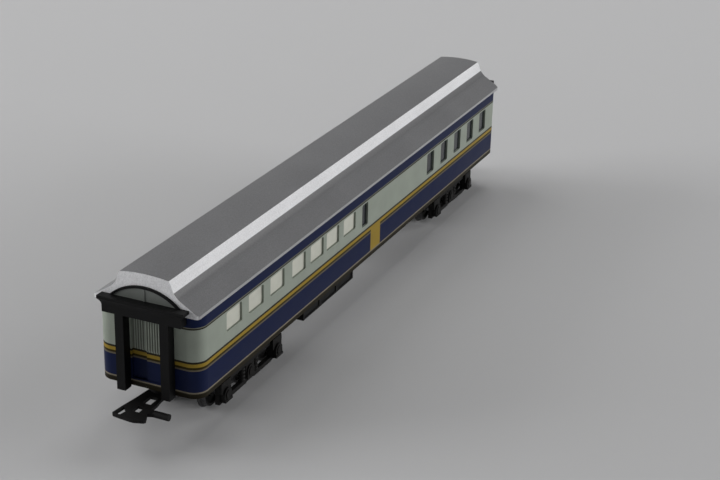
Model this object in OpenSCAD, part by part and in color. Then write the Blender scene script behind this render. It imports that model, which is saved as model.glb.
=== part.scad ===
// Model passenger coach with a clerestory-style roof, six-wheel bogies and hook couplers
// X runs along the coach, the shown end is at -X, the shown side is at -Y, and Z is up from the rail

/* [Body] */
// Length of the body over its end walls
body_l = 254; // [248:1:266]
// Width of the body over its sides
body_w = 36; // [35:0.5:40]
// Height of the sides from sill to eave
side_h = 27.4; // [26.8:0.1:28]
// Height of the sill above the rail
sill_z = 14.4; // [14.4:0.1:16]
// Thickness of the moulded walls
wall_t = 1.4; // [1.2:0.1:1.8]
// Plan radius of the body's corners
corner_r = 4.6; // [3:0.1:6]

/* [Windows] */
// Frosted windows in each side
frosted_n = 7; // [3:1:7]
// Width of a frosted window
frosted_w = 9.9; // [6:0.1:10.2]
// Height of a frosted window
frosted_h = 6.5; // [5:0.1:8]
// Spacing of the frosted windows
frosted_pitch = 14; // [13.6:0.1:14.2]
// Near end wall to the first frosted window's centre
frosted_start = 21.5; // [18:0.1:22]
// Dark windows in each side
dark_n = 5; // [2:1:5]
// Width of a dark window
dark_w = 7.1; // [5:0.1:10]
// Height of the dark windows and of the narrow one
dark_h = 8.6; // [6:0.2:10]
// Spacing of the dark windows
dark_pitch = 14.3; // [13:0.1:14.6]
// Far end wall to the last dark window's centre
dark_start = 16.5; // [13:0.1:18]
// Width of the narrow window beside the frosted ones
narrow_w = 5; // [3:0.2:5.4]
// Near end wall to the narrow window's centre
narrow_start = 118.6; // [117.6:0.2:124]
// Height of every window's head above the sill
window_head = 22.5; // [20:0.1:22.8]
// Corner radius of a window
window_r = 0.7; // [0.3:0.1:1.2]
// Depth of the panes behind the body's face
pane_recess = 0.7; // [0.3:0.1:0.8]
// Thickness of the glazing strips inside the walls
glazing_t = 0.8; // [0.6:0.1:1.2]

/* [Roof] */
// Rise of the roof from eave to crown
roof_rise = 11.3; // [10.9:0.1:12.4]
// Overhang of the eave beyond each side
eave_over = 0.3; // [0.1:0.05:0.8]
// Overhang of the roof beyond each end wall
end_over = 0.8; // [0.4:0.1:1.4]
// Height of the upright eave lip
lip_h = 1; // [0.7:0.1:1.2]
// Half width of the raised middle at its shoulder
crown_half = 8.45; // [7.8:0.05:9]
// Radius of the crown's arc across the roof
crown_r = 54; // [36:1:80]
// Radius of the hollow curve beside the raised middle
cove_r = 7; // [6:0.5:12]
// Thickness of the roof shell
roof_t = 1.4; // [1.2:0.1:1.6]

/* [Ends] */
// Width of each gangway column
column_w = 3; // [2:0.1:3.6]
// Distance of the columns' inner faces from the middle
column_in = 6.3; // [6:0.1:7]
// Reach of the columns beyond the end wall
column_out = 3.4; // [2.4:0.1:4.4]
// Drop of the columns below the sill
column_drop = 0.6; // [0:0.1:1]
// Height of the header's underside above the sill
header_z = 24.7; // [24.6:0.1:25.2]
// Height of the header
header_h = 5.2; // [4.8:0.1:5.6]
// Half length of the header's lower face
header_half = 13.7; // [12.8:0.1:14.6]
// Swell of the header's moulding on its ends
cornice_out = 1.4; // [1:0.1:1.8]
// Swell of the header's moulding on its front
cornice_front = 0.6; // [0.5:0.1:1]
// Radius of the arch over the header
arch_r = 17.8; // [16.8:0.1:19]
// Height of the arch's crown above the header
arch_rise = 4.8; // [4.4:0.1:5]
// Thickness of the arch rim
rim_t = 0.8; // [0.6:0.1:1]
// Reach of the arch rim beyond the roof's end face
rim_out = 0.6; // [0.6:0.1:1]
// Half width of the end doorway
door_half = 5.8; // [5:0.1:5.9]
// Height of the doorway's sill above the body's sill
door_foot = 2.6; // [2.4:0.1:4]
// Height of the doorway's head above the body's sill
door_head = 24.2; // [22:0.1:24.4]
// Spacing of the reeds on the door
reed_pitch = 0.9; // [0.8:0.05:1.4]

/* [Underframe] */
// Thickness of the floor inside the body's walls
floor_t = 3; // [2.6:0.1:3.4]
// Length of a battery box
box_l = 40; // [30:1:44]
// Width of a battery box
box_w = 7; // [5:0.5:8]
// Height of a battery box
box_h = 4.5; // [3:0.1:6]
// Coach centre to the middle of a battery box
box_x = 34.6; // [30:0.2:38]
// Inset of the battery boxes' faces from the body's sides
box_inset = 1.5; // [1.2:0.1:2.4]

/* [Bogies] */
// Bogie pivot from the end wall
pivot_in = 39; // [38:0.5:42]
// Spacing of the axles
axle_pitch = 17.4; // [17:0.1:18]
// Distance of the side frames' inner faces from the middle
frame_in = 12.2; // [12:0.1:12.8]
// Thickness of a side frame
frame_t = 1.6; // [1.4:0.1:2]
// Thickness of the deck that carries the pivot
deck_t = 1.2; // [1:0.1:1.4]
// Radius of the pivot pin
pivot_r = 1.5; // [1.2:0.1:2]
// Width of the coupler tongue
tongue_w = 7.2; // [5:0.2:9]

/* [Wheels] */
// Radius over the wheel flanges
flange_r = 6; // [5.7:0.05:6.1]
// Depth of the flange below the tread
flange_h = 0.8; // [0.6:0.05:1]
// Back-to-back distance of a pair of wheels
back_to_back = 14.4; // [13.8:0.1:14.6]
// Width of a wheel
wheel_w = 2.8; // [2.4:0.1:3]
// Radius of the axle
axle_r = 1; // [0.9:0.05:1.2]
// Radius of the axle's end journals
journal_r = 0.6; // [0.4:0.05:0.7]

/* [Couplers] */
// Coupler pin from the end wall
coupler_in = 7.4; // [6.8:0.2:8.4]
// Length of the coupler from its pin to the hook's front
coupler_l = 20.7; // [20:0.1:21.4]
// Thickness of the coupler's plate
coupler_t = 1; // [0.9:0.1:1.4]
// Width of the coupler's shank
shank_w = 7.8; // [7.6:0.1:8.4]
// Width of the coupler's head
head_w = 11.6; // [11:0.1:12.4]
// Radius of the coupler's release barrel
barrel_r = 1.1; // [0.9:0.05:1.3]
// Length of the release barrel
barrel_l = 5.3; // [4.6:0.1:6.4]
// Radius of the coupler pin
coupler_pin_r = 1; // [0.8:0.05:1.2]

/* [Interior] */
// Length of the ballast plate
ballast_l = 150; // [100:1:180]
// Width of the ballast plate
ballast_w = 22; // [14:0.5:26]
// Thickness of the ballast plate
ballast_t = 1.6; // [1:0.1:2]
// Seats in each row of the interior
seat_n = 13; // [6:1:13]
// Spacing of the seats
seat_pitch = 16; // [14:0.5:16.5]

/* [Hidden] */
$fn = 48;

// Colours of the mouldings
body_blue = [0.12, 0.15, 0.32];
roof_grey = [0.45, 0.45, 0.47];
frame_black = [0.09, 0.09, 0.10];
panel_pale = [0.66, 0.71, 0.65];
pane_white = [0.82, 0.84, 0.82];
pane_dark = [0.12, 0.14, 0.15];
steel = [0.62, 0.62, 0.63];
seat_brown = [0.36, 0.26, 0.20];

// Fits: overlap that joins two forms of one piece, fixed fit, running fit and working gap
join = 0.4;
fit = 0.05;
running = 0.06;
work_gap = 0.1;

// Main planes of the body
x_end = body_l / 2;
y_side = body_w / 2;
eave_z = sill_z + side_h;
cavity_l = body_l - 2 * wall_t;
cavity_w = body_w - 2 * wall_t;
head_z = sill_z + window_head;

// Window places, with each frosted window's own offset from even spacing,
// then the glazing strips' margin beyond the outer panes and the place where the two strips meet
strip_lap = 1;
strip_gap = 0.2;
frosted_offsets = [0, 0.3, 0.8, 2.3, 2, 0.3, 0];
frosted_xs = [for (i = [0 : frosted_n - 1]) -x_end + frosted_start + i * frosted_pitch + frosted_offsets[i]];
dark_x = x_end - dark_start;
narrow_x = -x_end + narrow_start;
strip_split = narrow_x - narrow_w / 2 - strip_lap;

// Roof section: eave, foot and top of the hollow curve, shoulder and crown
eave_half = y_side + eave_over;
roof_l = body_l + 2 * end_over;
eave_r = 1.2;
crown_z = eave_z + roof_rise;
crown_cz = crown_z - crown_r;
shoulder_z = crown_cz + sqrt(pow(crown_r, 2) - pow(crown_half, 2));
slope_angle = 32;
slope_tan = tan(slope_angle);
cove_run = 4.2;
cove_foot = [
    crown_half + cove_run,
    eave_z + lip_h + (eave_half - crown_half - cove_run) * slope_tan
];
wall_lean = 0.75;
wall_drop = 1.4;
cove_top = [crown_half + wall_lean, shoulder_z - wall_drop];

// Roof lining: the same section set back by the shell
lining_half = cavity_w / 2;
lining_drop = roof_t / cos(slope_angle);
lining_foot_z = cove_foot[1] - lining_drop;
lining_crown = crown_half - roof_t / 2;
tab_l = 12;
tab_t = 1;
tab_drop = 2;
tab_pitch = roof_l / 5;

// Gangway frame
header_low = sill_z + header_z;
header_top = header_low + header_h;
header_front = column_out + cornice_front;
fascia_h = header_h * 0.44;
cornice_h = header_h * 0.17;
hollow_ease = 0.95;
hollow_rise = header_h - fascia_h - cornice_h;
end_hollow_r = hollow_radius(cornice_out, hollow_rise);
front_hollow_r = hollow_radius(cornice_front, hollow_rise);
return_drop = 0.2;
arch_cz = header_top + arch_rise - arch_r;
column_mid = column_in + column_w / 2;
peg_r = 0.8;
peg_zs = [sill_z + 6, sill_z + 19];
lunette_t = 0.3;
mullion_t = 0.5;
mullion_w = 0.5;

// End door: two leaves at different depths with a flange behind the wall
leaf_split = 0.2;
leaf_recess = [0.3, 0.9];
door_flange = 0.8;
reed_r = 0.3;
reed_low = sill_z + 12.8;
reed_high = sill_z + 23.2;

// Floor and what hangs on it
floor_z = sill_z;
floor_top = floor_z + floor_t;
screw_deep = 1.9;
peg_deep = 1.8;
boss_r = 6;
boss_h = 0.7;
boss_z = floor_z - boss_h;
sill_beam_w = 6;
sill_beam_h = 3;
lug_xs = [-3, -1, 1, 3] * body_l / 8;
lug_l = 8;
lug_out = 0.5;
lug_h = 0.6;
lug_z = sill_z + 1.4;
box_peg_r = 1;
box_y = y_side - box_inset - box_w / 2;
box_peg_x = box_l / 3;

// Bogies: everything is placed from the pivot, with the coach end towards -X
pivot_x = x_end - pivot_in;
axle_xs = [-axle_pitch, 0, axle_pitch];
axle_z = flange_r;
deck_z = boss_z - work_gap - deck_t;
deck_top = deck_z + deck_t;
frame_out = frame_in + frame_t;
frame_half = axle_pitch + 3.6;
rail_low = axle_z + 2.8;
rail_high = axle_z + 4.6;
pedestal_w = 5.6;
pedestal_low = axle_z - 3.2;
equaliser_low = axle_z - 2.6;
equaliser_h = 1.5;
equaliser_run = 3.2;
equaliser_drop = 0.9;
axlebox_w = 4.6;
axlebox_out = 1.7;
axlebox_rib = 0.9;
middle_box_out = 0.5;
cover_w = 6.2;
cover_out = 1;
cover_low = axle_z + 0.8;
lid_r = 1.5;
lid_out = 0.3;
transom_gap = 1.2;
transom_w = axle_pitch - 2 * flange_r - transom_gap;
strip_w = 1.6;
spring_r = 1.2;
spring_x = pedestal_w / 2 + spring_r + 0.4;
spring_turns = 4;
spring_core = 0.7;
turn_offset = 0.62;
turn_r = 0.42;
journal_end = frame_in + 0.9;
journal_bore = journal_end + 0.15;
pivot_head_r = 2.6;
pivot_head_h = 1.3;
pivot_top = floor_top - 0.5;

// Wheels
wheel_in = back_to_back / 2;
wheel_out = wheel_in + wheel_w;
tread_r = flange_r - flange_h;
hub_r = 2.1;
dish_r = tread_r - 1;
web_t = 0.9;
edge = 0.1;
axle_end = frame_in - 0.7;

// Coupler: placed from its pin, forwards then across
pin_x = pivot_in - coupler_in;
tongue_low = axle_z + 4.9;
coupler_top = tongue_low - work_gap;
coupler_low = coupler_top - coupler_t;
heel_r = shank_w / 2 - 0.5;
loop_x = coupler_l - 0.8;
notch_x = coupler_l - 5.1;
arm_y = shank_w / 2 + 2.2;
arm_w = 2.2;
barrel_x = notch_x - 0.6 - arm_w / 2;
barrel_y = arm_y - 0.5;
slot_x = 7.9;
slot_l = 4.6;
slot_w = 2.8;
eye_x = coupler_l - 6.5;
eye_l = 3.4;
eye_w = 2.4;
nose_r = 0.6;
pin_head_r = 1.8;
pin_head_h = 0.9;
pin_top = deck_top - 0.5;

// Interior
tray_z = floor_top + ballast_t;
tray_t = 1;
tray_w = cavity_w - 2 * glazing_t - 0.8;
tray_l = seat_n * seat_pitch + 16;
aisle_half = 3.4;
seat_d = 7.4;
seat_h = 3.6;
seat_back_h = 8.4;
seat_back_t = 1.2;
screw_x = ballast_l * 0.4;
screw_r = 1;
screw_head_r = 2;
screw_head_h = 0.9;
screw_room = 0.3;

// Centre of the circle of radius r through p and q that lies to the left of the way from p to q
function arc_centre(p, q, r) =
    let (d = q - p, reach = sqrt(r * r - d * d / 4))
    (p + q) / 2 + reach * [-d[1], d[0]] / norm(d);

// Radius of a hollow that leaves the fascia a little flatter than tangent
function hollow_radius(out, rise) = hollow_ease * (out * out + rise * rise) / (2 * out);

// Outline points with their mirror images across the middle
function both_halves(half) = concat(half, [for (i = [len(half) - 1 : -1 : 0]) [-half[i][0], half[i][1]]]);

// Rounded rectangle about the origin
module rounded(l, w, r) {
    square([l - 2 * r, w], center = true);
    square([l, w - 2 * r], center = true);
    for (sx = [-1, 1], sy = [-1, 1])
        translate([sx * (l / 2 - r), sy * (w / 2 - r)]) circle(r);
}

// Section drawn as Y and Z, pushed along X from x0 to x1
module along_x(x0, x1) {
    translate([x0, 0, 0]) rotate([90, 0, 90]) linear_extrude(x1 - x0) children();
}

// Section drawn as X and Z, pushed along Y from y0 to y1
module along_y(y0, y1) {
    translate([0, y1, 0]) rotate([90, 0, 0]) linear_extrude(y1 - y0) children();
}

// Upright plan form from z0 to z1
module along_z(z0, z1) {
    translate([0, 0, z0]) linear_extrude(z1 - z0) children();
}

// Half-turned copy for the far end
module far_end() {
    rotate([0, 0, 180]) children();
}

// Copy for the right-hand side, mirrored across the coach's middle
module right_side() {
    mirror([0, 1, 0]) children();
}

// Window outlines of one side; grow widens each outline, so that panes come out smaller than openings
module frosted_windows(grow) {
    for (x = frosted_xs)
        translate([x, head_z - frosted_h / 2])
            rounded(frosted_w + 2 * grow, frosted_h + 2 * grow, window_r);
}

module dark_windows(grow) {
    for (i = [0 : dark_n - 1])
        translate([dark_x - i * dark_pitch, head_z - dark_h / 2])
            rounded(dark_w + 2 * grow, dark_h + 2 * grow, window_r);
    translate([narrow_x, head_z - dark_h / 2])
        rounded(narrow_w + 2 * grow, dark_h + 2 * grow, window_r);
}

// Doorway and peg holes of one end wall
module end_openings() {
    along_x(-x_end - join, -x_end + wall_t + join)
        translate([-door_half, sill_z + door_foot]) square([2 * door_half, door_head - door_foot]);
    for (s = [-1, 1], z = peg_zs)
        translate([-x_end - join, s * column_mid, z])
            rotate([0, 90, 0]) cylinder(r = peg_r + fit, h = wall_t + 2 * join);
}

// Body: a tube of moulded wall, open above and below
module body_shell() {
    color(body_blue) difference() {
        along_z(sill_z, eave_z) rounded(body_l, body_w, corner_r);
        along_z(sill_z - join, eave_z + join) rounded(cavity_l, cavity_w, corner_r - wall_t);
        along_y(-y_side - join, y_side + join) {
            frosted_windows(0);
            dark_windows(0);
        }
        end_openings();
        far_end() end_openings();
        for (x = lug_xs)
            translate([x, 0, lug_z + lug_h / 2])
                cube(
                    [lug_l + 4 * work_gap, cavity_w + 2 * lug_out + work_gap, lug_h + 2 * work_gap],
                    center = true
                );
    }
}

// Roof section: sloping eaves, a hollow curve on each side and a raised arched middle
module roof_section() {
    difference() {
        union() {
            polygon(both_halves([
                [eave_half, eave_z], [eave_half, eave_z + lip_h],
                cove_foot, cove_top, [crown_half, shoulder_z]
            ]));
            intersection() {
                translate([0, crown_cz]) circle(crown_r, $fn = 180);
                translate([-crown_half, shoulder_z - join]) square([2 * crown_half, roof_rise]);
            }
        }
        for (s = [0, 1])
            mirror([s, 0]) translate(arc_centre(cove_top, cove_foot, cove_r)) circle(cove_r, $fn = 96);
    }
}

module roof_lining() {
    polygon(both_halves([
        [lining_half, eave_z - join],
        [lining_half, eave_z + lip_h + (eave_half - lining_half) * slope_tan - lining_drop],
        [cove_foot[0] - join, lining_foot_z],
        [lining_crown - join, cove_top[1] - 2 * roof_t],
        [lining_crown - roof_t / 2, shoulder_z - roof_t]
    ]));
}

// Roof: a shell with closed ends and tabs that drop inside the body's walls
module roof() {
    color(roof_grey) {
        intersection() {
            difference() {
                along_x(-roof_l / 2, roof_l / 2) roof_section();
                along_x(-cavity_l / 2, cavity_l / 2) roof_lining();
            }
            along_z(eave_z - join, crown_z + join) rounded(roof_l, 2 * eave_half, eave_r);
        }
        for (i = [-2 : 2], s = [-1, 1])
            translate([i * tab_pitch, s * (cavity_w / 2 - fit - tab_t / 2), eave_z])
                translate([-tab_l / 2, -tab_t / 2, -tab_drop]) cube([tab_l, tab_t, tab_drop + lip_h]);
    }
}

// Header moulding seen from its end: fascia, hollow and top flange, stepped round the roof's overhang
module header_profile() {
    fascia_top = [-column_out, header_low + fascia_h];
    flange_low = [-header_front, header_top - cornice_h];
    difference() {
        polygon([
            [0, header_low], [-column_out, header_low], fascia_top, flange_low,
            [-header_front, header_top], [-end_over, header_top], [-end_over, eave_z], [0, eave_z]
        ]);
        translate(arc_centre(fascia_top, flange_low, front_hollow_r)) circle(front_hollow_r);
    }
}

// The same moulding seen from the front, with both ends returned a little lower
module header_front_view() {
    fascia_top = [header_half, header_low + fascia_h - return_drop];
    flange_low = [header_half + cornice_out, header_top - cornice_h - return_drop];
    difference() {
        polygon(both_halves([
            [header_half, header_low], fascia_top, flange_low, [header_half + cornice_out, header_top]
        ]));
        for (s = [0, 1])
            mirror([s, 0]) translate(arc_centre(flange_low, fascia_top, end_hollow_r)) circle(end_hollow_r);
    }
}

module arch_disc(r) {
    intersection() {
        translate([0, arch_cz]) circle(r, $fn = 120);
        translate([-arch_r, header_top]) square([2 * arch_r, arch_rise + join]);
    }
}

// Gangway frame: two columns, the moulded header and the arch rim, pegged into the end wall
module gangway_frame() {
    color(frame_black) {
        intersection() {
            translate([-x_end, 0, 0]) along_y(-2 * header_half, 2 * header_half) header_profile();
            along_x(-x_end - 2 * header_front, -x_end + join) header_front_view();
        }
        for (s = [-1, 1]) {
            along_z(sill_z - column_drop, header_low + fascia_h / 2)
                translate([-x_end - column_out / 2, s * column_mid])
                    square([column_out, column_w], center = true);
            for (z = peg_zs)
                translate([-x_end - join, s * column_mid, z])
                    rotate([0, 90, 0]) cylinder(r = peg_r, h = join + wall_t - work_gap);
        }
        along_x(-x_end - end_over - rim_out, -x_end - end_over) difference() {
            union() {
                arch_disc(arch_r);
                translate([-header_half / 2, header_top - join]) square([header_half, 2 * join]);
            }
            translate([0, arch_cz]) circle(arch_r - rim_t, $fn = 120);
        }
    }
}

// Lunette: the pale panel inside the arch, with a middle bar
module lunette() {
    color(panel_pale) {
        along_x(-x_end - end_over - lunette_t, -x_end - end_over) arch_disc(arch_r - rim_t - fit);
        along_x(-x_end - end_over - mullion_t, -x_end - end_over)
            intersection() {
                arch_disc(arch_r - rim_t - fit);
                translate([-mullion_w / 2, header_top]) square([mullion_w, arch_rise]);
            }
    }
}

// End door: two leaves that fill the doorway at different depths, reeded above, on one back flange
module end_door() {
    leaf_edges = [-door_half + fit, leaf_split, door_half - fit];
    low = sill_z + door_foot + fit;
    high = sill_z + door_head - fit;
    color(panel_pale) {
        for (i = [0, 1])
            along_x(-x_end + leaf_recess[i], -x_end + wall_t + join)
                translate([leaf_edges[i], low])
                    square([leaf_edges[i + 1] - leaf_edges[i] + (1 - i) * join, high - low]);
        translate([-x_end + wall_t, -door_half - door_flange, low - door_flange])
            cube([door_flange, 2 * (door_half + door_flange), high - low + 2 * door_flange]);
        for (y = [leaf_edges[0] + reed_pitch : reed_pitch : leaf_edges[2] - reed_pitch])
            translate([-x_end + leaf_recess[y < leaf_split + join ? 0 : 1], y, reed_low])
                cylinder(r = reed_r, h = reed_high - reed_low, $fn = 24);
    }
}

// Glazing: a strip inside the wall with panes that stand in the window openings
module glazing(x0, x1, pane_h) {
    along_y(-cavity_w / 2, -cavity_w / 2 + glazing_t)
        translate([x0, head_z - pane_h - glazing_t]) square([x1 - x0, pane_h + 2 * glazing_t]);
    along_y(-y_side + pane_recess, -cavity_w / 2 + glazing_t / 2) children();
}

module left_frosted_glazing() {
    color(pane_white)
        glazing(
            frosted_xs[0] - frosted_w / 2 - strip_lap,
            min(strip_split - strip_gap, frosted_xs[frosted_n - 1] + frosted_w / 2 + strip_lap),
            frosted_h
        ) frosted_windows(-fit);
}

module left_dark_glazing() {
    color(pane_dark)
        glazing(strip_split, dark_x + dark_w / 2 + strip_lap, dark_h) dark_windows(-fit);
}

// Underframe: floor that fits inside the body, clip lugs, pivot bosses and centre beam in one moulding
module underframe() {
    floor_l = cavity_l - 2 * (door_flange + 2 * work_gap);
    floor_w = cavity_w - 2 * work_gap;
    beam_half = pivot_x - frame_half - 6;
    color(frame_black) difference() {
        union() {
            along_z(floor_z, floor_top) rounded(floor_l, floor_w, corner_r - wall_t - work_gap);
            for (x = lug_xs)
                translate([x, 0, lug_z + lug_h / 2])
                    cube([lug_l, cavity_w + 2 * lug_out - work_gap, lug_h], center = true);
            for (s = [-1, 1])
                translate([s * pivot_x, 0, boss_z]) cylinder(r = boss_r, h = boss_h + join);
            along_y(-sill_beam_w / 2, sill_beam_w / 2) polygon([
                [-beam_half, floor_z + join], [-beam_half, floor_z],
                [-beam_half + 2 * sill_beam_h, floor_z - sill_beam_h],
                [beam_half - 2 * sill_beam_h, floor_z - sill_beam_h],
                [beam_half, floor_z], [beam_half, floor_z + join]
            ]);
        }
        for (s = [-1, 1]) {
            translate([s * pivot_x, 0, boss_z - join]) cylinder(r = pivot_r, h = pivot_top - boss_z + join);
            translate([s * screw_x, 0, floor_top - screw_deep]) cylinder(r = screw_r, h = 2 * floor_t);
            for (side = [-1, 1], p = [-1, 1])
                translate([side * box_x + p * box_peg_x, side * box_y, floor_z - join])
                    cylinder(r = box_peg_r + fit, h = peg_deep + join);
        }
    }
}

// Battery box under the floor's edge: a case with door panels let into its outer face
module left_battery_box() {
    panel_n = 3;
    panel_step = box_l / panel_n;
    panel_deep = 0.3;
    color(frame_black) {
        translate([-box_x, -box_y, 0]) difference() {
            along_y(-box_w / 2, box_w / 2)
                translate([-box_l / 2, floor_z - box_h]) square([box_l, box_h]);
            along_y(-box_w / 2 - join, -box_w / 2 + panel_deep)
                for (i = [0 : panel_n - 1])
                    translate([(i - (panel_n - 1) / 2) * panel_step, floor_z - box_h / 2])
                        rounded(panel_step - 2, box_h - 1.2, 0.4);
        }
        for (p = [-1, 1])
            translate([-box_x + p * box_peg_x, -box_y, floor_z - join])
                cylinder(r = box_peg_r, h = peg_deep + join - work_gap);
    }
}

// Ballast: a steel plate on the floor, held by two screws
module ballast_plate() {
    color(steel) difference() {
        along_z(floor_top, floor_top + ballast_t) rounded(ballast_l, ballast_w, 1);
        for (s = [-1, 1])
            translate([s * screw_x, 0, floor_top - join])
                cylinder(r = screw_r + fit, h = ballast_t + 2 * join);
    }
}

module ballast_screws() {
    color(steel) for (s = [-1, 1])
        translate([s * screw_x, 0, 0]) difference() {
            union() {
                translate([0, 0, floor_top - screw_deep + work_gap])
                    cylinder(r = screw_r, h = tray_z - floor_top + screw_deep);
                translate([0, 0, tray_z]) cylinder(r = screw_head_r, h = screw_head_h);
            }
            translate([-screw_head_r, -fit * 4, tray_z + screw_head_h / 2])
                cube([2 * screw_head_r, fit * 8, screw_head_h]);
        }
}

// Interior: a tray with two rows of seats beside a middle aisle
module interior_tray() {
    foot_l = 4;
    seat_profile = [
        [0, 0], [seat_d, 0], [seat_d, seat_back_h], [seat_d - seat_back_t, seat_back_h],
        [seat_d - 1.6 * seat_back_t, seat_h], [0, seat_h]
    ];
    color(seat_brown) {
        difference() {
            along_z(tray_z, tray_z + tray_t) rounded(tray_l, tray_w, 1);
            for (s = [-1, 1])
                translate([s * screw_x, 0, tray_z - join])
                    cylinder(r = screw_head_r + screw_room, h = tray_t + 2 * join);
        }
        for (s = [-1, 1])
            translate([s * (tray_l - foot_l) / 2 - foot_l / 2, -tray_w / 4, floor_top])
                cube([foot_l, tray_w / 2, ballast_t + tray_t / 2]);
        for (s = [0, 1])
            mirror([0, s, 0]) along_y(aisle_half, tray_w / 2 - 0.4)
                for (i = [0 : seat_n - 1])
                    translate([(i - (seat_n - 1) / 2) * seat_pitch - seat_d / 2, tray_z + tray_t / 2])
                        polygon(seat_profile);
    }
}

// Bogie side frame seen from its side: top rail, three pedestals, equaliser bars with open slits over them,
// and the posts that carry the deck
module side_frame_profile() {
    bay = axle_pitch / 2;
    bar_top = equaliser_low + equaliser_h;
    translate([-frame_half, rail_low]) square([2 * frame_half, rail_high - rail_low]);
    for (x = axle_xs)
        translate([x - pedestal_w / 2, pedestal_low]) square([pedestal_w, rail_high - pedestal_low]);
    for (s = [-1, 1]) {
        translate([s * bay - transom_w / 2, rail_low]) square([transom_w, deck_top - rail_low]);
        polygon([
            [0, bar_top], [0, equaliser_low], [s * equaliser_run, equaliser_low - equaliser_drop],
            [s * (axle_pitch - equaliser_run), equaliser_low - equaliser_drop],
            [s * axle_pitch, equaliser_low], [s * axle_pitch, bar_top],
            [s * (axle_pitch - equaliser_run), bar_top - equaliser_drop],
            [s * equaliser_run, bar_top - equaliser_drop]
        ]);
    }
}

// Axlebox seen from its side: a square body under a rounded cap
module axlebox_profile() {
    translate([-axlebox_w / 2, axle_z - axlebox_w / 2]) square([axlebox_w, axlebox_w / 2 + join]);
    translate([0, axle_z]) circle(axlebox_w / 2);
}

// Coil spring as a column of rounded turns
module spring_column(h) {
    turn = h / spring_turns;
    rotate_extrude() union() {
        square([spring_r * spring_core, h]);
        for (i = [0 : spring_turns - 1])
            translate([spring_r * turn_offset, (i + 0.5) * turn]) circle(turn * turn_r, $fn = 24);
    }
}

// Outer axlebox with its ribbed lid and the spring cover over it, standing on the side frame's face
module outer_axlebox() {
    along_y(frame_out - join, frame_out + axlebox_out) axlebox_profile();
    along_y(frame_out, frame_out + axlebox_out + lid_out) {
        translate([0, axle_z]) circle(lid_r);
        translate([-axlebox_w / 2, axle_z - axlebox_w / 2]) square([axlebox_w, axlebox_rib]);
    }
    along_y(frame_out - join, frame_out + cover_out)
        translate([-cover_w / 2, cover_low]) square([cover_w, rail_high - cover_low]);
}

// Middle axlebox, shallower, between two coil springs that stand on the equaliser bars
module middle_axlebox() {
    spring_low = equaliser_low - equaliser_drop + equaliser_h - join / 2;
    along_y(frame_out - join, frame_out + middle_box_out) axlebox_profile();
    along_y(frame_out, frame_out + middle_box_out + lid_out) translate([0, axle_z]) circle(lid_r);
    for (p = [-1, 1])
        translate([p * spring_x, frame_in + frame_t / 2, spring_low])
            spring_column(rail_low - spring_low + join / 2);
}

// Bogie frame: two side frames on an open deck, with the coupler tongue towards the coach's end
module bogie_frame() {
    bay = axle_pitch / 2;
    neck_gap = 1;
    color(frame_black) translate([-pivot_x, 0, 0]) difference() {
        union() {
            for (s = [0, 1]) mirror([0, s, 0]) {
                along_y(frame_in, frame_out) side_frame_profile();
                middle_axlebox();
                for (p = [-1, 1])
                    translate([p * axle_pitch, 0, 0]) outer_axlebox();
            }
            along_z(deck_z, deck_top) {
                for (x = [-bay, bay])
                    translate([x - transom_w / 2, -frame_out]) square([transom_w, 2 * frame_out]);
                translate([-bay, -boss_r]) square([2 * bay, 2 * boss_r]);
                for (s = [-1, 1])
                    translate([-bay, s * (frame_in - strip_w / 2) - strip_w / 2]) square([2 * bay, strip_w]);
                translate([-pin_x, -tongue_w / 2]) square([pin_x, tongue_w]);
                translate([-pin_x, 0]) circle(tongue_w / 2);
            }
            along_z(tongue_low, deck_z + join) {
                translate([-pin_x, -tongue_w / 2])
                    square([pin_x - axle_pitch - flange_r - neck_gap, tongue_w]);
                translate([-pin_x, 0]) circle(tongue_w / 2);
            }
        }
        translate([0, 0, deck_z - join]) cylinder(r = pivot_r + running, h = deck_t + 2 * join);
        translate([-pin_x, 0, tongue_low - join])
            cylinder(r = coupler_pin_r, h = pin_top - tongue_low + join);
        for (x = axle_xs)
            translate([x, journal_bore, axle_z])
                rotate([90, 0, 0]) cylinder(r = journal_r + running, h = 2 * journal_bore);
    }
}

// Pivot pin: a headed pin fixed in the floor's boss, on which the bogie turns
module pivot_pin() {
    color(steel) translate([-pivot_x, 0, 0]) {
        translate([0, 0, deck_z - work_gap - pivot_head_h]) cylinder(r = pivot_head_r, h = pivot_head_h);
        translate([0, 0, deck_z - work_gap - join])
            cylinder(r = pivot_r, h = pivot_top - deck_z + work_gap + join);
    }
}

// Axle: a shaft with stepped-down journals, at the given place in its bogie
module axle(i) {
    color(steel) translate([-pivot_x + axle_xs[i], 0, axle_z]) rotate([90, 0, 0]) {
        cylinder(r = axle_r, h = 2 * axle_end, center = true);
        cylinder(r = journal_r, h = 2 * journal_end, center = true);
    }
}

// Wheel section: hub, dished web, tread and flange, from the back face outwards
module wheel_section() {
    web_low = (wheel_w - web_t) / 2;
    web_high = (wheel_w + web_t) / 2;
    polygon([
        [axle_r, 0], [hub_r, 0], [hub_r, web_low], [dish_r, web_low],
        [dish_r, 0], [flange_r - 2.5 * edge, 0], [flange_r, 3 * edge], [flange_r - edge, 6 * edge],
        [tread_r, 9 * edge], [tread_r - edge, wheel_w - 2 * edge], [tread_r - 3 * edge, wheel_w],
        [dish_r, wheel_w], [dish_r, web_high], [hub_r, web_high],
        [hub_r, wheel_w - 2 * edge], [axle_r, wheel_w - 2 * edge]
    ]);
}

// Wheel pair, pressed on its axle
module wheels(i) {
    color(steel) translate([-pivot_x + axle_xs[i], 0, axle_z]) for (s = [0, 1])
        mirror([0, s, 0]) translate([0, wheel_in, 0])
            rotate([-90, 0, 0]) rotate_extrude($fn = 64) wheel_section();
}

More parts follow.
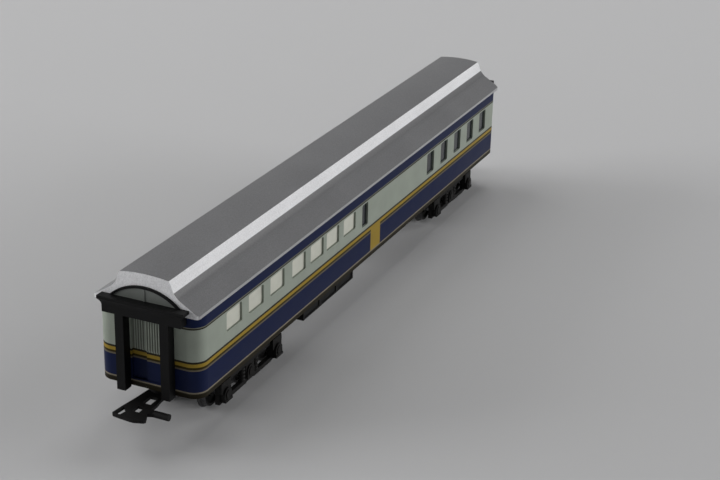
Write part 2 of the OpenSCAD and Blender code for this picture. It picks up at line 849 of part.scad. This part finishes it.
// Coupler plan, forward of the pin and across: shank, barrel arm, then the hook head with its open loop
module coupler_plan() {
    half = head_w / 2;
    neck = shank_w / 2;
    difference() {
        union() {
            circle(heel_r);
            polygon([
                [0, heel_r], [slot_x + 1, neck + 0.5], [eye_x, neck + 1.3], [loop_x - nose_r, half],
                [loop_x, half - nose_r], [coupler_l - 0.4, half - 3.2], [coupler_l, -1], [coupler_l, -2.4],
                [coupler_l - 1, -half + 0.4], [coupler_l - 1.8, -half], [notch_x, -neck - 0.3],
                [notch_x - 0.6, -arm_y], [notch_x - 0.6 - arm_w, -arm_y],
                [notch_x - 0.9 - arm_w, -neck + 0.1], [slot_x + 1.6, -neck],
                [slot_x - 2, -heel_r], [0, -heel_r]
            ]);
        }
        translate([slot_x, -slot_w / 4]) square([slot_l, slot_w], center = true);
        translate([eye_x, -eye_w / 8]) square([eye_l, eye_w], center = true);
        polygon([
            [loop_x - 0.7, half - 0.8], [eye_x + 0.6, half - 1.4], [eye_x + eye_l / 2 + 0.8, eye_w],
            [loop_x - 0.5, half - 2.8]
        ]);
        circle(coupler_pin_r + running);
    }
}

// Coupler: the flat hook with its round release barrel, hung under the tongue
module coupler() {
    color(frame_black) translate([-pivot_x - pin_x, 0, 0]) mirror([1, 0, 0]) {
        along_z(coupler_low, coupler_top) coupler_plan();
        translate([barrel_x, -barrel_y, coupler_low + coupler_t / 2])
            rotate([90, 0, 0]) cylinder(r = barrel_r, h = barrel_l);
    }
}

module coupler_pin() {
    color(steel) translate([-pivot_x - pin_x, 0, 0]) {
        translate([0, 0, coupler_low - work_gap - pin_head_h]) cylinder(r = pin_head_r, h = pin_head_h);
        translate([0, 0, coupler_low - work_gap - join])
            cylinder(r = coupler_pin_r, h = pin_top - coupler_low + work_gap + join);
    }
}

body_shell();
roof();
gangway_frame();  // near_gangway_frame
far_end() gangway_frame();  // far_gangway_frame
lunette();  // near_lunette
far_end() lunette();  // far_lunette
end_door();  // near_end_door
far_end() end_door();  // far_end_door
left_frosted_glazing();
right_side() left_frosted_glazing();  // right_frosted_glazing
left_dark_glazing();
right_side() left_dark_glazing();  // right_dark_glazing
underframe();
left_battery_box();
far_end() left_battery_box();  // right_battery_box
ballast_plate();
ballast_screws();
interior_tray();
bogie_frame();  // near_bogie_frame
far_end() bogie_frame();  // far_bogie_frame
pivot_pin();  // near_pivot_pin
far_end() pivot_pin();  // far_pivot_pin
axle(0);  // near_axle_1
axle(1);  // near_axle_2
axle(2);  // near_axle_3
far_end() axle(0);  // far_axle_1
far_end() axle(1);  // far_axle_2
far_end() axle(2);  // far_axle_3
wheels(0);  // near_wheels_1
wheels(1);  // near_wheels_2
wheels(2);  // near_wheels_3
far_end() wheels(0);  // far_wheels_1
far_end() wheels(1);  // far_wheels_2
far_end() wheels(2);  // far_wheels_3
coupler();  // near_coupler
far_end() coupler();  // far_coupler
coupler_pin();  // near_coupler_pin
far_end() coupler_pin();  // far_coupler_pin
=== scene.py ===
"""Paint, glazing, metal and studio for a model passenger coach."""

import math

import bpy
from bpy.props import FloatProperty, FloatVectorProperty, PointerProperty
from mathutils import Matrix, Vector


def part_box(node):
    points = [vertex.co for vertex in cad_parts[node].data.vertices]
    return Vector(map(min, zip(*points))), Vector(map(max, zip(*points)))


bl_info = {
    "name": "Model Passenger Coach",
    "version": (1, 0, 0),
    "blender": (4, 5, 0),
    "location": "View3D > Sidebar > Coach",
    "description": "Paints a model passenger coach and sets it on a plain studio floor",
    "category": "Object",
}

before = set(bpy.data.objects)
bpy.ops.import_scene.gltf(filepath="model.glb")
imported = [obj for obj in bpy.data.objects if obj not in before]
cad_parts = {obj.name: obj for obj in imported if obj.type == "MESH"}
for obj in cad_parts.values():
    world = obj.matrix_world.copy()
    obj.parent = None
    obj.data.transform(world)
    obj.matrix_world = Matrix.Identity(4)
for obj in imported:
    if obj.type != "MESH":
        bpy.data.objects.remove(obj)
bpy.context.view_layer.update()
MM = 0.001
ENDS = ("near", "far")
SIDES = ("left", "right")
AXLES = (1, 2, 3)
SILL_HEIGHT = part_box("body_shell")[0].z
EAVE_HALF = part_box("roof")[1].y

# How far the edges of the painted bands waver
EDGE_WAVER = 0.06 * MM
# Distance from a reed's middle, as a share of the spacing, where the painted shade of its groove starts and
# where it is full, and how much of the dark line colour that painted shade takes
GROOVE_EDGE = (0.26, 0.38)
GROOVE_SHADE_SHARE = 0.75
# Upward part of the roof's facing where the painted highlight of the upright faces ends, and where the
# painted shade of the deck starts; between them the hollow curves get painted shade
PAINTED_HIGHLIGHT_END = (0.50, 0.53)
DECK_SHADE_START = (0.74, 0.88)
# Sideways part of the facing of an eave's lip, which gets painted shade, and how far in from the eave it
# may lie
LIP_FACING = (0.6, 0.9)
LIP_DEPTH = 0.3 * MM
# Radius of a wheel's tread as a share of the wheel's box, and how much of it is rubbed bright
TREAD_RADIUS = 0.41
RUBBED_SHARE = 0.3
BUMP_STRENGTH = 0.25

# Half the floor's width in metres, and the upward part of a direction at which the air is darkest
FLOOR_REACH = 2.6
AIR_TOP = 0.8
# Width of the image in pixels, and the camera's sensor in millimetres and nearest distance in metres
IMAGE_WIDTH = 720
SENSOR_WIDTH = 36.0
NEAREST = 0.01

# Outputs of the coordinate and geometry nodes, and sockets of a Mix node that mixes colours
GENERATED, OBJECT = 0, 3
NORMAL = 1
MIX_SHARE, MIX_FIRST, MIX_SECOND, MIX_RESULT = 0, 6, 7, 2


def colour_property(name, description, default):
    """A colour that a user may change."""
    return FloatVectorProperty(
        name=name, description=description, subtype="COLOR", size=3, min=0.0, max=1.0, default=default
    )


def length_property(name, description, millimetres):
    """A length that a user may change."""
    return FloatProperty(
        name=name, description=description, default=millimetres * MM, unit="LENGTH", precision=5
    )


def share_property(name, description, default):
    """A share from nothing to all."""
    return FloatProperty(
        name=name, description=description, default=default, min=0.0, max=1.0, subtype="FACTOR"
    )


class CoachLivery(bpy.types.PropertyGroup):
    """Colours of the painted body and the heights of its bands above the sill"""

    blue: colour_property("Blue", "Lower side and letterboard", (0.0055, 0.0110, 0.047))
    gold: colour_property("Gold", "Waist stripe and middle panel", (0.30, 0.205, 0.030))
    pale: colour_property("Pale band", "Grey-green band round the windows", (0.300, 0.331, 0.284))
    cream: colour_property("Cream", "Thin line over the sill", (0.205, 0.18, 0.135))
    straw: colour_property("Straw", "Thin line at the waist", (0.125, 0.108, 0.078))
    olive: colour_property("Olive", "Line under the gold", (0.034, 0.024, 0.003))
    # The sill band's near-black brown is painted shade: the sill's gold band, darkened as it lies in shadow
    # under the body's edge
    sill: colour_property("Sill", "Lowest band of the body", (0.012, 0.009, 0.003))
    hairline: colour_property("Hairline", "Thin line under the letterboard", (0.150, 0.150, 0.125))
    # The line colour also serves as painted shade in the grooves of the reeded doors
    line: colour_property("Line", "Dark lines by the bands, and doors' grooves", (0.026, 0.022, 0.012))
    dust: colour_property("Dust", "Dust on the lower side", (0.20, 0.18, 0.15))
    dust_share: share_property("Dust share", "How much dust lies at the sill", 0.05)
    sill_high: length_property("Sill head", "Head of the sill's band", 1.2)
    cream_low: length_property("Cream foot", "Foot of the cream line", 1.6)
    cream_high: length_property("Cream head", "Head of the cream line", 2.1)
    straw_low: length_property("Straw foot", "Foot of the straw line at the waist", 9.2)
    straw_high: length_property("Straw head", "Head of the straw line at the waist", 9.75)
    gold_low: length_property("Gold foot", "Foot of the gold stripe", 10.5)
    gold_high: length_property("Gold head", "Head of the gold stripe", 11.65)
    pale_low: length_property("Pale foot", "Foot of the pale band", 12.35)
    pale_high: length_property("Pale head", "Head of the pale band", 23.0)
    board_line: length_property("Board line", "Foot of the thin line under the letterboard", 23.45)
    board_low: length_property("Board foot", "Foot of the upper blue band", 23.8)
    panel_middle: length_property("Panel middle", "Middle of the gold panel along the coach", 1.2)
    panel_width: length_property("Panel width", "Width of the gold panel", 8.4)
    reed_start: length_property("Reed start", "Place across the door where its reeds start", -5.75)
    reed_pitch: length_property("Reed spacing", "Spacing of the reeds on the doors", 0.9)


class CoachFinish(bpy.types.PropertyGroup):
    """Colours and gloss of the parts that are not in the livery"""

    # The roof is one silver-grey paint, and its colours by facing are painted light: roof is a painted
    # highlight on the upright faces, and deck, hollow and lip are painted shade
    roof: colour_property("Roof", "Silver-grey paint on the roof's upright faces", (0.85, 0.85, 0.865))
    deck: colour_property("Deck", "Darker grey on the roof's upward faces", (0.240, 0.240, 0.246))
    hollow: colour_property("Hollow", "Shaded grey of the hollow curves", (0.148, 0.148, 0.152))
    lip: colour_property("Lip", "Grey of the eaves' upright lips", (0.36, 0.36, 0.367))
    roof_roughness: share_property("Roof roughness", "Least roughness of the roof paint", 0.29)
    deck_metal: share_property("Deck metal", "How metallic the deck's paint is", 0.3)
    # The arch panels' colour is the pale band's at half brightness: painted shade in the recess under the
    # arch and the roof
    shaded_arch_panel: colour_property("Arch", "Panels in the arches over the doors", (0.150, 0.162, 0.150))
    black: colour_property("Black", "Satin black mouldings", (0.004, 0.004, 0.0043))
    grime: colour_property("Grime", "Dust on the bogies and hooks", (0.30, 0.27, 0.24))
    grime_share: share_property("Grime share", "How much dust lies on the bogies and hooks", 0.03)
    frosted: colour_property("Frosted", "Frosted panes", (0.575, 0.58, 0.505))
    # The dark panes' near black is painted shade, standing in for the unlit inside seen through the glass
    shaded_pane: colour_property("Smoked", "Smoked panes", (0.016, 0.019, 0.022))
    steel: colour_property("Steel", "Axles, pins and ballast", (0.46, 0.46, 0.48))
    blackened: colour_property("Blackened", "Wheels", (0.012, 0.0115, 0.011))
    seats: colour_property("Seats", "Interior moulding", (0.10, 0.055, 0.035))


class CoachStage(bpy.types.PropertyGroup):
    """Floor, light and camera of the studio"""

    floor: colour_property("Floor", "Pale studio floor", (0.56, 0.56, 0.565))
    horizon: colour_property("Horizon", "Light of the air round the sides", (0.262, 0.262, 0.266))
    zenith: colour_property("Zenith", "Light of the air overhead", (0.01, 0.01, 0.01))
    eye: FloatVectorProperty(
        name="Eye", description="Place of the camera", size=3, subtype="TRANSLATION", unit="LENGTH",
        default=(-0.49619, -0.23451, 0.24793),
    )
    heading: FloatProperty(
        name="Heading", description="Camera's turn from the coach's length", default=0.4208, subtype="ANGLE"
    )
    dip: FloatProperty(name="Dip", description="Camera's tilt below level", default=0.3993, subtype="ANGLE")
    roll: FloatProperty(name="Roll", description="Camera's roll", default=0.0233, subtype="ANGLE")
    focal_pixels: FloatProperty(
        name="Focal length", description="Camera's focal length in pixels of the image", default=1604.4
    )


# Name, place, what it faces, width and height in metres, and watts of each lamp
LAMPS = (
    ("over_left", (0.1, 0.85, 1.0), (0.0, 0.0, 0.03), (0.9, 0.9), 5.0),
    ("left_front", (-2.4, 5.2, 1.71), (0.0, 0.0, 0.03), (3.6, 2.8), 216.0),
    ("over_far", (0.7, 0.1, 1.3), (0.4, 0.1, 0.0), (0.6, 0.6), 4.0),
    ("right_low", (1.85, -4.8, 1.31), (0.05, 0.0, 0.03), (3.2, 1.6), 112.0),
    ("far_right", (1.4, -1.2, 0.9), (0.7, -0.3, 0.0), (0.8, 0.8), 9.0),
)


class Value:
    """A shader socket that takes part in arithmetic"""

    def __init__(self, shade, socket):
        self.shade = shade
        self.socket = socket

    def __add__(self, other):
        return self.shade.maths("ADD", self, other)

    __radd__ = __add__

    def __mul__(self, other):
        return self.shade.maths("MULTIPLY", self, other)

    __rmul__ = __mul__

    def __sub__(self, other):
        return self.shade.maths("SUBTRACT", self, other)

    def __rsub__(self, other):
        return self.shade.maths("SUBTRACT", other, self)

    def __truediv__(self, other):
        return self.shade.maths("DIVIDE", self, other)

    def __rtruediv__(self, other):
        return self.shade.maths("DIVIDE", other, self)

    def __gt__(self, other):
        return self.shade.maths("GREATER_THAN", self, other)

    def __lt__(self, other):
        return self.shade.maths("LESS_THAN", self, other)

    def __abs__(self):
        return self.shade.maths("ABSOLUTE", self)


class Shade:
    """Builds the nodes of one material, or of the world, from expressions"""

    def __init__(self, owner, surface="Principled BSDF"):
        owner.use_nodes = True
        self.owner = owner
        self.tree = owner.node_tree
        self.surface = self.tree.nodes[surface]

    def node(self, kind, settings, sockets):
        """One node: its settings first, then its sockets. Gives all that comes out of it."""
        made = self.tree.nodes.new(kind)
        for key, setting in settings.items():
            setattr(made, key, setting)
        for key, value in sockets.items():
            self.feed(made.inputs[key], value)
        return [Value(self, output) for output in made.outputs]

    def feed(self, socket, value):
        """Links a value to a socket, or sets it there."""
        if isinstance(value, Value):
            self.tree.links.new(value.socket, socket)
        elif socket.type == "RGBA":
            socket.default_value = (*tuple(value)[:3], 1.0)
        else:
            socket.default_value = value

    def maths(self, operation, *values):
        """A Math node on values."""
        return self.node("ShaderNodeMath", {"operation": operation}, dict(enumerate(values)))[0]

    def mix(self, share, first, second, blend="MIX"):
        """A colour that goes from the first to the second, or to their product."""
        settings = {"data_type": "RGBA", "blend_type": blend}
        sockets = {MIX_SHARE: share, MIX_FIRST: first, MIX_SECOND: second}
        return self.node("ShaderNodeMix", settings, sockets)[MIX_RESULT]

    def place(self):
        """The point of the surface in the coach's own frame, in metres."""
        return self.node("ShaderNodeTexCoord", {}, {})[OBJECT]

    def share_of_box(self):
        """The point of the surface as shares of its node's own box. In the world, the direction."""
        return self.node("ShaderNodeTexCoord", {}, {})[GENERATED]

    def facing(self):
        """The way that the surface faces."""
        return self.node("ShaderNodeNewGeometry", {}, {})[NORMAL]

    def between(self, value, low, high):
        """A share that eases from nothing at the low value to all at the high one."""
        settings = {"interpolation_type": "SMOOTHSTEP"}
        return self.node("ShaderNodeMapRange", settings, {0: value, 1: low, 2: high})[0]

    def axes(self, point):
        """The three parts of a point."""
        return self.node("ShaderNodeSeparateXYZ", {}, {0: point})

    def noise(self, size, detail=2.0):
        """Soft noise whose blotches are about the given size in metres."""
        sockets = {"Vector": self.place(), "Scale": 1.0 / size, "Detail": detail}
        return self.node("ShaderNodeTexNoise", {}, sockets)[0]

    def mottle(self, share, colour, noise):
        """A colour that a share of a noise makes darker and lighter over the surface."""
        return self.mix(share, colour, noise * 2.0, "MULTIPLY")

    def spread(self, noise, low, high):
        """A noise taken to values from low to high."""
        return noise * (high - low) + low

    def grain(self, size, depth):
        """A fine moulded or sprayed surface."""
        sockets = {"Height": self.noise(size), "Strength": BUMP_STRENGTH, "Distance": depth}
        self.feed(self.surface.inputs["Normal"], self.node("ShaderNodeBump", {}, sockets)[0])

    def set(self, **sockets):
        """Values or links of the surface's own sockets, named in small letters with underscores."""
        for key, value in sockets.items():
            self.feed(self.surface.inputs[key.replace("_", " ").title().replace("Ior", "IOR")], value)


def new_shade(name):
    """The nodes of a new material."""
    return Shade(bpy.data.materials.new(name))


def dress(nodes, material):
    """Gives CAD nodes one material."""
    for name in nodes:
        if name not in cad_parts:
            raise ValueError(f"the frame has no node {name}")
        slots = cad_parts[name].data.materials
        slots.clear()
        slots.append(material)


def at_ends(*names):
    """Node names at both ends of the coach."""
    return [f"{end}_{name}" for end in ENDS for name in names]


def at_sides(name):
    """Node names on both sides of the coach."""
    return [f"{side}_{name}" for side in SIDES]


def livery_material(name, livery, reeded=False):
    """Banded paint: each band starts at a height above the sill and ends at the next. On the reeded doors
    it adds painted shade in the grooves between the reeds.
    """
    shade = new_shade(name)
    x, y, z = shade.axes(shade.place())
    height = z - SILL_HEIGHT + (shade.noise(2 * MM) - 0.5) * EDGE_WAVER
    bands = [
        (livery.sill_high, livery.line),
        (livery.cream_low, livery.cream),
        (livery.cream_high, livery.blue),
        (livery.straw_low, livery.straw),
        (livery.straw_high, livery.olive),
        (livery.gold_low, livery.gold),
        (livery.gold_high, livery.line),
        (livery.pale_low, livery.pale),
        (livery.pale_high, livery.line),
        (livery.board_line, livery.hairline),
        (livery.board_low, livery.blue),
    ]
    # The lowest band starts as the sill colour, which is painted shade on the sill's gold band
    paint = livery.sill
    for edge, colour in bands:
        paint = shade.mix(height > edge, paint, colour)
    along_panel = abs(x - livery.panel_middle) < livery.panel_width / 2
    up_panel = (height < livery.gold_high) * (height > livery.cream_high)
    paint = shade.mix(along_panel * up_panel, paint, livery.gold)
    # Painted shade: darker lines in the grooves between the doors' reeds
    if reeded:
        # The far door is the near one turned half round, so its reeds are counted from the other side
        across = y * ((x < 0.0) * 2.0 - 1.0)
        spacings = (across - livery.reed_start) / livery.reed_pitch
        off_reed = abs(shade.maths("FRACT", spacings + 0.5) - 0.5)
        up_reeds = (height > livery.pale_low) * (height < livery.pale_high)
        groove_shade = shade.between(off_reed, *GROOVE_EDGE) * up_reeds
        paint = shade.mix(groove_shade * GROOVE_SHADE_SHARE, paint, livery.line)
    worn = shade.noise(9 * MM, 5.0)
    paint = shade.mottle(0.16, paint, worn)
    low_down = (height < livery.straw_low) * (livery.straw_low - height) / livery.straw_low
    paint = shade.mix(low_down * livery.dust_share * worn, paint, livery.dust)
    shade.grain(0.5 * MM, 0.02 * MM)
    shade.set(base_color=paint, roughness=shade.spread(worn, 0.36, 0.52), specular_ior_level=0.09)
    return shade.owner


class COACH_OT_paint_body(bpy.types.Operator):
    """Paint the body and its end doors, with painted shade in the doors' grooves, and paint the panels in
    the arches in a shaded copy of the pale band
    """

    bl_idname = "coach.paint_body"
    bl_label = "Paint Body"

    def execute(self, context):
        livery = context.scene.coach_livery
        dress(["body_shell"], livery_material("banded_paint", livery))
        dress(at_ends("end_door"), livery_material("reeded_door_paint_with_groove_shade", livery, reeded=True))
        # Arch panels: a darkened copy of the pale band, painted shade in their recess
        shade = new_shade("arch_panel_painted_shade")
        shade.grain(0.5 * MM, 0.02 * MM)
        shade.set(
            base_color=shade.mottle(0.16, context.scene.coach_finish.shaded_arch_panel, shade.noise(6 * MM)),
            roughness=shade.spread(shade.noise(4 * MM), 0.32, 0.47),
        )
        dress(at_ends("lunette"), shade.owner)
        return {"FINISHED"}


class COACH_OT_paint_roof(bpy.types.Operator):
    """Paint the roof silver grey, with a painted highlight on upright faces and painted shade on upward
    ones, on the hollow curves and on the eaves' lips
    """

    bl_idname = "coach.paint_roof"
    bl_label = "Paint Roof"

    def execute(self, context):
        finish = context.scene.coach_finish
        shade = new_shade("silver_roof_paint_and_painted_light")
        flakes = shade.noise(0.4 * MM, 1.0)
        smears = shade.noise(25 * MM, 3.0)
        _, aside, up = shade.axes(shade.facing())
        _, across, _ = shade.axes(shade.place())
        # Painted light by facing: a painted highlight on the upright faces, and painted shade on the eaves'
        # lips, the hollow curves and the deck
        deck = shade.between(up, *DECK_SHADE_START)
        lip = (abs(across) > EAVE_HALF - LIP_DEPTH) * shade.between(abs(aside), *LIP_FACING)
        paint = shade.mix(lip, finish.roof, finish.lip)
        paint = shade.mix(shade.between(up, *PAINTED_HIGHLIGHT_END), paint, finish.hollow)
        paint = shade.mix(deck, paint, finish.deck)
        paint = shade.mottle(0.24, paint, flakes)
        paint = shade.mottle(0.12, paint, smears)
        shade.grain(0.3 * MM, 0.01 * MM)
        shade.set(
            base_color=paint,
            metallic=deck * finish.deck_metal,
            roughness=shade.spread(smears, finish.roof_roughness, finish.roof_roughness + 0.10),
            specular_ior_level=0.2,
        )
        dress(["roof"], shade.owner)
        return {"FINISHED"}


class COACH_OT_paint_mouldings(bpy.types.Operator):
    """Colour the black mouldings of the ends, floor, boxes, bogies and hooks"""

    bl_idname = "coach.paint_mouldings"
    bl_label = "Paint Mouldings"

    def execute(self, context):
        finish = context.scene.coach_finish
        satin = new_shade("satin_black_moulding")
        satin.grain(0.35 * MM, 0.02 * MM)
        satin.set(
            base_color=satin.mottle(0.4, finish.black, satin.noise(5 * MM)),
            roughness=satin.spread(satin.noise(4 * MM), 0.38, 0.58),
            specular_ior_level=0.15,
        )
        dress([*at_ends("gangway_frame"), "underframe", *at_sides("battery_box")], satin.owner)
        dull = new_shade("dull_black_moulding")
        dust = dull.noise(3 * MM, 5.0)
        dull.grain(0.3 * MM, 0.04 * MM)
        dull.set(
            base_color=dull.mix(dust * finish.grime_share, finish.black, finish.grime),
            roughness=dull.spread(dust, 0.48, 0.68),
            specular_ior_level=0.15,
        )
        dress(at_ends("bogie_frame", "coupler"), dull.owner)
        return {"FINISHED"}


class COACH_OT_glaze(bpy.types.Operator):
    """Frost the light panes, and make the dark ones near black as painted shade of the unlit inside"""

    bl_idname = "coach.glaze"
    bl_label = "Glaze Windows"

    def execute(self, context):
        finish = context.scene.coach_finish
        frosted = new_shade("frosted_pane")
        frosted.grain(0.2 * MM, 0.03 * MM)
        frosted.set(
            base_color=frosted.mottle(0.08, finish.frosted, frosted.noise(3 * MM)),
            roughness=frosted.spread(frosted.noise(0.4 * MM), 0.5, 0.6),
        )
        dress(at_sides("frosted_glazing"), frosted.owner)
        # Painted shade: the dark panes are near black, standing in for the unlit inside behind the glass
        shaded_pane = new_shade("pane_with_painted_shade")
        shaded_pane.set(
            base_color=shaded_pane.mottle(0.3, finish.shaded_pane, shaded_pane.noise(4 * MM)),
            roughness=shaded_pane.spread(shaded_pane.noise(6 * MM), 0.10, 0.22),
        )
        dress(at_sides("dark_glazing"), shaded_pane.owner)
        return {"FINISHED"}


class COACH_OT_finish_metal(bpy.types.Operator):
    """Finish the wheels, axles, pins, screws and ballast"""

    bl_idname = "coach.finish_metal"
    bl_label = "Finish Metal"

    def execute(self, context):
        finish = context.scene.coach_finish
        turned = new_shade("turned_steel")
        turned.set(
            base_color=turned.mottle(0.24, finish.steel, turned.noise(1.5 * MM)),
            metallic=1.0,
            roughness=turned.spread(turned.noise(0.6 * MM), 0.25, 0.45),
        )
        pins = at_ends("pivot_pin", "coupler_pin", *(f"axle_{i}" for i in AXLES))
        dress(["ballast_plate", "ballast_screws", *pins], turned.owner)
        wheel = new_shade("blackened_wheel")
        along, _, up = wheel.axes(wheel.share_of_box())
        along, up = along - 0.5, up - 0.5
        radius = wheel.maths("SQRT", along * along + up * up)
        rubbed = (radius > TREAD_RADIUS) * wheel.noise(0.8 * MM) * RUBBED_SHARE
        dark = wheel.mottle(0.3, finish.blackened, wheel.noise(1.5 * MM))
        wheel.set(
            base_color=wheel.mix(rubbed, dark, finish.steel),
            metallic=0.8,
            roughness=0.50 - rubbed * 0.4,
        )
        dress(at_ends(*(f"wheels_{i}" for i in AXLES)), wheel.owner)
        return {"FINISHED"}


class COACH_OT_colour_interior(bpy.types.Operator):
    """Colour the seats inside"""

    bl_idname = "coach.colour_interior"
    bl_label = "Colour Interior"

    def execute(self, context):
        shade = new_shade("seat_moulding")
        shade.grain(0.4 * MM, 0.03 * MM)
        shade.set(
            base_color=shade.mottle(0.2, context.scene.coach_finish.seats, shade.noise(4 * MM)),
            roughness=shade.spread(shade.noise(2 * MM), 0.55, 0.65),
        )
        dress(["interior_tray"], shade.owner)
        return {"FINISHED"}


def soft_light(name, place, target, size, watts):
    """A rectangular studio lamp that faces a point."""
    data = bpy.data.lights.new(name, "AREA")
    data.shape = "RECTANGLE"
    data.size, data.size_y = size
    data.energy = watts
    lamp = bpy.data.objects.new(name, data)
    lamp.location = place
    lamp.rotation_euler = (Vector(target) - Vector(place)).to_track_quat("-Z", "Y").to_euler()
    bpy.context.scene.collection.objects.link(lamp)


class COACH_OT_set_stage(bpy.types.Operator):
    """Lay the floor and set the light and the camera"""

    bl_idname = "coach.set_stage"
    bl_label = "Set Stage"

    def execute(self, context):
        stage = context.scene.coach_stage
        self.lay_floor(stage)
        self.set_light(context.scene, stage)
        self.set_camera(context.scene, stage)
        context.scene.view_settings.view_transform = "Standard"
        return {"FINISHED"}

    def lay_floor(self, stage):
        """A wide plain floor under the wheels."""
        mesh = bpy.data.meshes.new("studio_floor")
        corners = [(i * FLOOR_REACH, j * FLOOR_REACH, 0.0) for i, j in ((-1, -1), (1, -1), (1, 1), (-1, 1))]
        mesh.from_pydata(corners, [], [(0, 1, 2, 3)])
        floor = bpy.data.objects.new("studio_floor", mesh)
        bpy.context.scene.collection.objects.link(floor)
        shade = new_shade("studio_floor")
        shade.set(base_color=shade.mottle(0.02, stage.floor, shade.noise(0.4)), roughness=0.7)
        mesh.materials.append(shade.owner)

    def set_light(self, scene, stage):
        """Soft lamps round the coach, in air that is dim and darkest overhead."""
        shade = Shade(bpy.data.worlds.new("studio_air"), "Background")
        _, _, up = shade.axes(shade.share_of_box())
        shade.set(color=shade.mix(shade.between(up, 0.0, AIR_TOP), stage.horizon, stage.zenith))
        scene.world = shade.owner
        for lamp in LAMPS:
            soft_light(*lamp)

    def set_camera(self, scene, stage):
        """The view of the near end and the left side, from above."""
        ahead = Vector(
            (
                math.cos(stage.dip) * math.cos(stage.heading),
                math.cos(stage.dip) * math.sin(stage.heading),
                -math.sin(stage.dip),
            )
        )
        level = Vector((math.sin(stage.heading), -math.cos(stage.heading), 0.0))
        upright = level.cross(ahead)
        right = math.cos(stage.roll) * level + math.sin(stage.roll) * upright
        up = -math.sin(stage.roll) * level + math.cos(stage.roll) * upright
        data = bpy.data.cameras.new("studio_camera")
        data.sensor_width = SENSOR_WIDTH
        data.lens = SENSOR_WIDTH * stage.focal_pixels / IMAGE_WIDTH
        data.clip_start = NEAREST
        camera = bpy.data.objects.new("studio_camera", data)
        turn = Matrix((right, up, -ahead)).transposed().to_4x4()
        camera.matrix_world = Matrix.Translation(stage.eye) @ turn
        scene.collection.objects.link(camera)
        scene.camera = camera


class COACH_PT_tools(bpy.types.Panel):
    """Lists the coach's tools and settings"""

    bl_idname = "COACH_PT_tools"
    bl_label = "Coach"
    bl_space_type = "VIEW_3D"
    bl_region_type = "UI"
    bl_category = "Coach"

    def draw(self, context):
        for operator in OPERATORS:
            self.layout.operator(operator.bl_idname)
        for name in SETTINGS:
            group = getattr(context.scene, name)
            box = self.layout.box()
            for key in group.__annotations__:
                box.prop(group, key)


SETTINGS = {"coach_livery": CoachLivery, "coach_finish": CoachFinish, "coach_stage": CoachStage}
OPERATORS = (
    COACH_OT_paint_body,
    COACH_OT_paint_roof,
    COACH_OT_paint_mouldings,
    COACH_OT_glaze,
    COACH_OT_finish_metal,
    COACH_OT_colour_interior,
    COACH_OT_set_stage,
)
CLASSES = (*SETTINGS.values(), *OPERATORS, COACH_PT_tools)


def register():
    """Adds the classes and hangs the settings on the scene."""
    for cls in CLASSES:
        bpy.utils.register_class(cls)
    for name, group in SETTINGS.items():
        setattr(bpy.types.Scene, name, PointerProperty(type=group))


def unregister():
    """Takes the settings and the classes away again."""
    for name in SETTINGS:
        delattr(bpy.types.Scene, name)
    for cls in reversed(CLASSES):
        bpy.utils.unregister_class(cls)


def main():
    """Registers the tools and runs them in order."""
    register()
    bpy.ops.coach.paint_body()
    bpy.ops.coach.paint_roof()
    bpy.ops.coach.paint_mouldings()
    bpy.ops.coach.glaze()
    bpy.ops.coach.finish_metal()
    bpy.ops.coach.colour_interior()
    bpy.ops.coach.set_stage()


if __name__ == "__main__":
    main()
